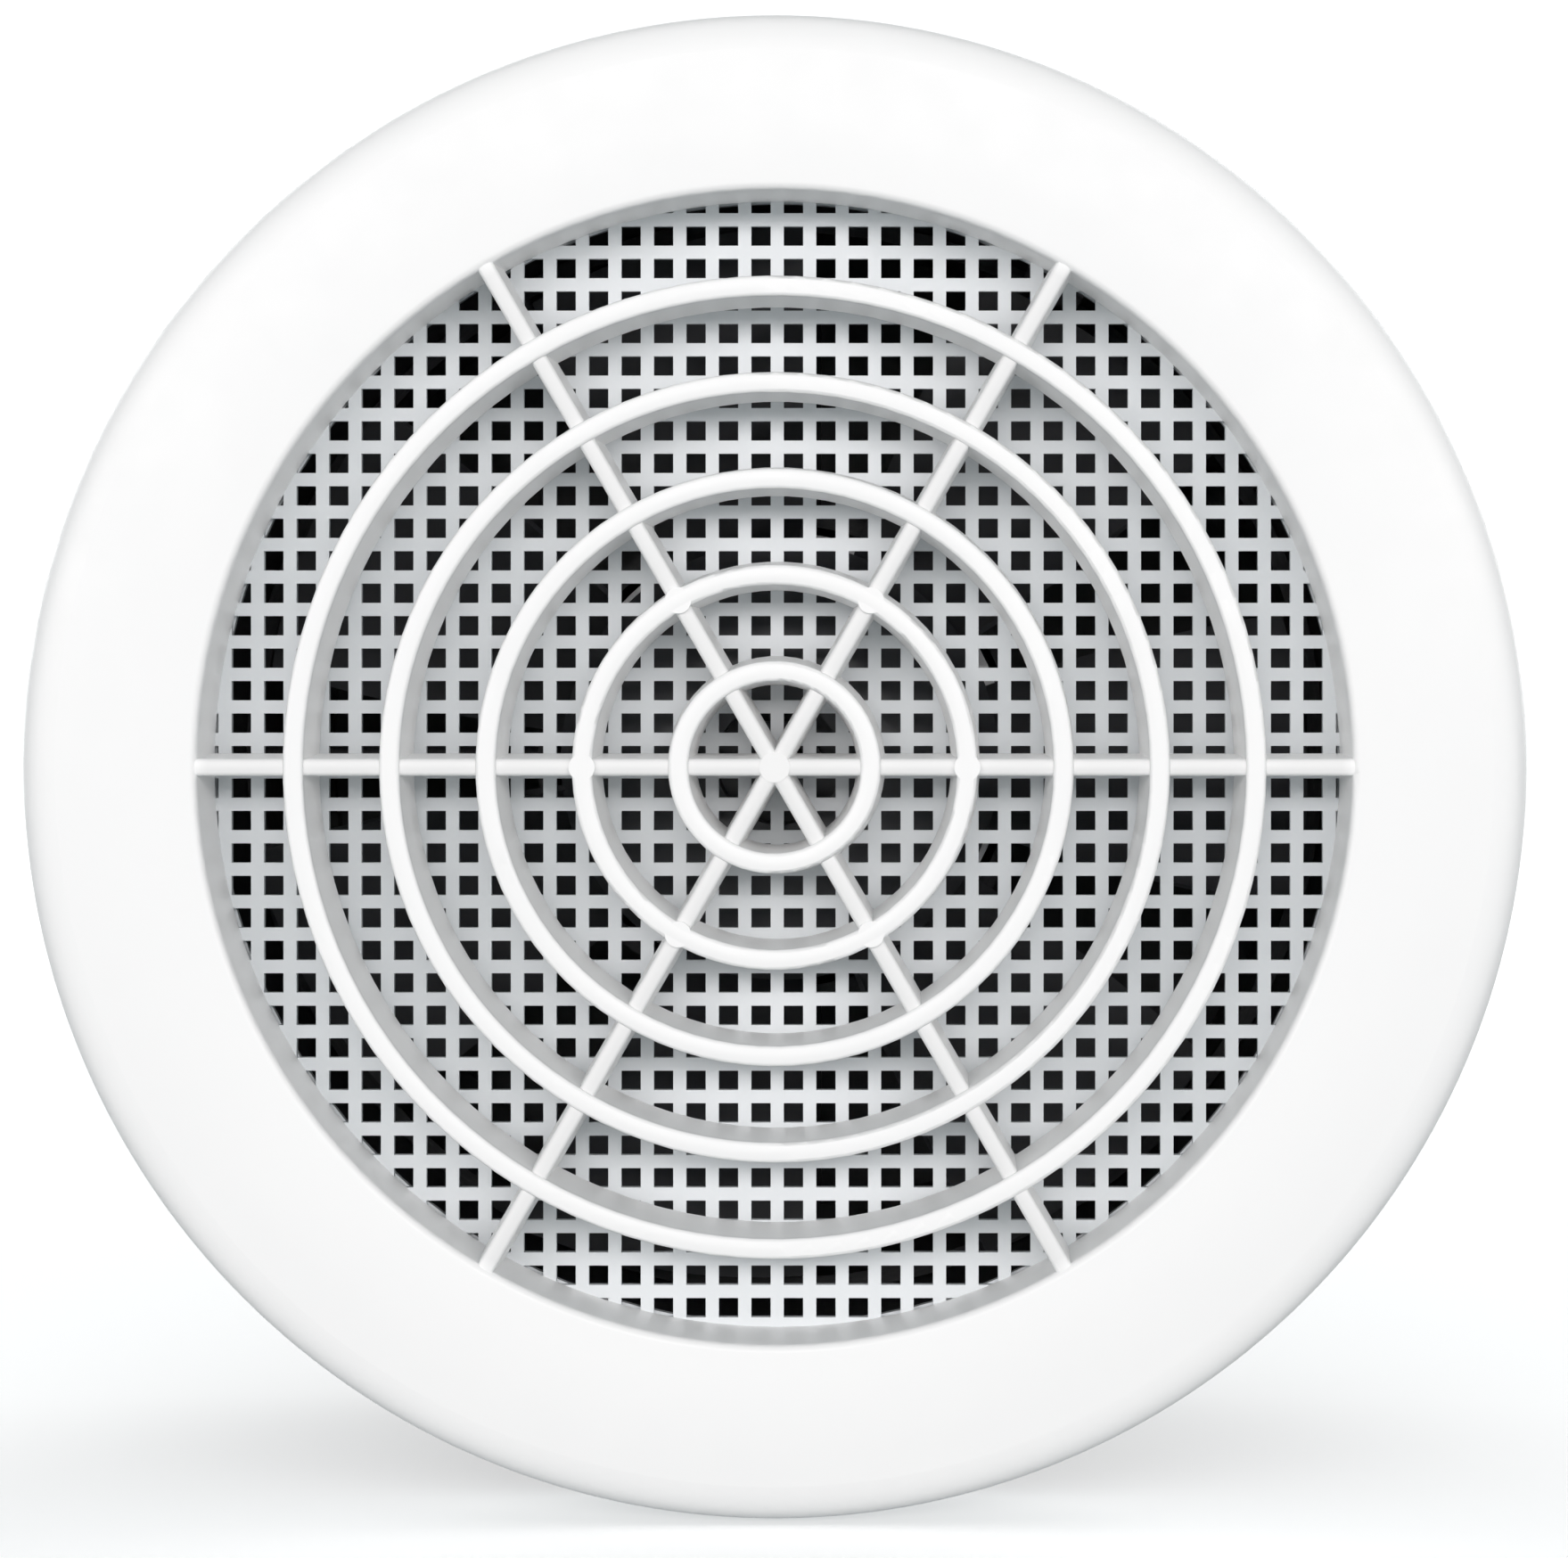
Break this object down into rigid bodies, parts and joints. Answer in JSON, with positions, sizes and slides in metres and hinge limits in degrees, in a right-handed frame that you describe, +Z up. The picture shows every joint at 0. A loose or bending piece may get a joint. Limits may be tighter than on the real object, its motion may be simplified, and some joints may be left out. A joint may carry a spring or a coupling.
{
  "type": "bathroom extractor fan",
  "caption": "Round wall-mounted axial extractor fan: white pull-off grille with concentric rings and insect screen, spigot housing, shaded-pole motor, impeller and sprung back-draught flaps.",
  "frame": {"origin": "on the fan axis, in the plane of the wall that the flange gasket presses against", "axes": "+Y along the fan axis into the wall and duct, -Y faces the room, +Z up with the shutter's hinge pin vertical"},
  "size_m": [0.144, 0.097, 0.144],
  "materials": {
    "white_gloss": "satin-gloss moulded ABS",
    "screen_white": "moulded polypropylene mesh",
    "charcoal_plastic": "fine-textured moulded plastic",
    "carrier_plastic": "glass-filled moulded plastic",
    "impeller_plastic": "smooth moulded plastic",
    "flap_plastic": "thin moulded plastic",
    "foam": "closed-cell foam",
    "rubber_black": "moulded rubber",
    "terminal_nylon": "natural polyamide",
    "washer_nylon": "polyamide washer",
    "brown_insulation": "PVC insulation",
    "blue_insulation": "PVC insulation",
    "zinc_steel": "bright zinc plate",
    "spring_steel": "drawn stainless wire",
    "ground_steel": "ground steel",
    "bell_metal": "pressed galvanised steel",
    "lamination_steel": "varnished laminated steel",
    "rotor_alloy": "turned cage rotor",
    "copper_winding": "enamelled copper wire",
    "sintered_bronze": "oil-soaked sintered bronze",
    "brass_plated": "machined brass"
  },
  "bodies": {
    "housing": {"fan_housing": "charcoal_plastic", "mounting_flange": "charcoal_plastic", "flange_gasket": "foam", "cable_grommet": "rubber_black", "terminal_block": "terminal_nylon", "terminal_screws": "brass_plated", "terminal_fixing_screw": "zinc_steel", "lead_cover": "charcoal_plastic", "live_lead": "brown_insulation", "neutral_lead": "blue_insulation", "motor_cup": "carrier_plastic", "carrier_arms": "carrier_plastic", "carrier_hoop": "carrier_plastic", "carrier_screws": "zinc_steel", "mount_bushes": "rubber_black", "motor_front_bell": "bell_metal", "motor_rear_bell": "bell_metal", "stator_core": "lamination_steel", "stator_coils": "copper_winding", "front_bearing": "sintered_bronze", "rear_bearing": "sintered_bronze", "front_bearing_clip": "spring_steel", "rear_bearing_clip": "spring_steel", "motor_through_bolts": "zinc_steel", "motor_bolt_nuts": "zinc_steel", "shutter_frame": "charcoal_plastic", "shutter_pin": "ground_steel"},
    "front_cover": {"front_grille": "white_gloss", "fly_screen": "screen_white", "screen_retaining_ring": "screen_white"},
    "rotor": {"motor_shaft": "ground_steel", "rotor_core": "rotor_alloy", "thrust_washers": "washer_nylon", "impeller": "impeller_plastic", "impeller_nut": "impeller_plastic"},
    "flap_right": {"flap_right": "flap_plastic", "flap_spring_right": "spring_steel"},
    "flap_left": {"flap_left": "flap_plastic", "flap_spring_left": "spring_steel"}
  },
  "joints": [
    {"name": "cover_pull", "type": "slide", "parent": "housing", "child": "front_cover", "axis": [0, -1, 0], "range_m": [0, 0.04]},
    {"name": "impeller_spin", "type": "hinge", "parent": "housing", "child": "rotor", "pos_m": [0, 0.011, 0], "axis": [0, 1, 0], "continuous": true},
    {"name": "flap_right_swing", "type": "hinge", "parent": "housing", "child": "flap_right", "pos_m": [0, 0.0706, 0], "axis": [0, 0, 1], "range_deg": [0, 80], "stiffness_Nm_per_rad": 0.001, "springref_deg": -11.46},
    {"name": "flap_left_swing", "type": "hinge", "parent": "housing", "child": "flap_left", "pos_m": [0, 0.0706, 0], "axis": [0, 0, -1], "range_deg": [0, 80], "stiffness_Nm_per_rad": 0.001, "springref_deg": -11.46}
  ]
}
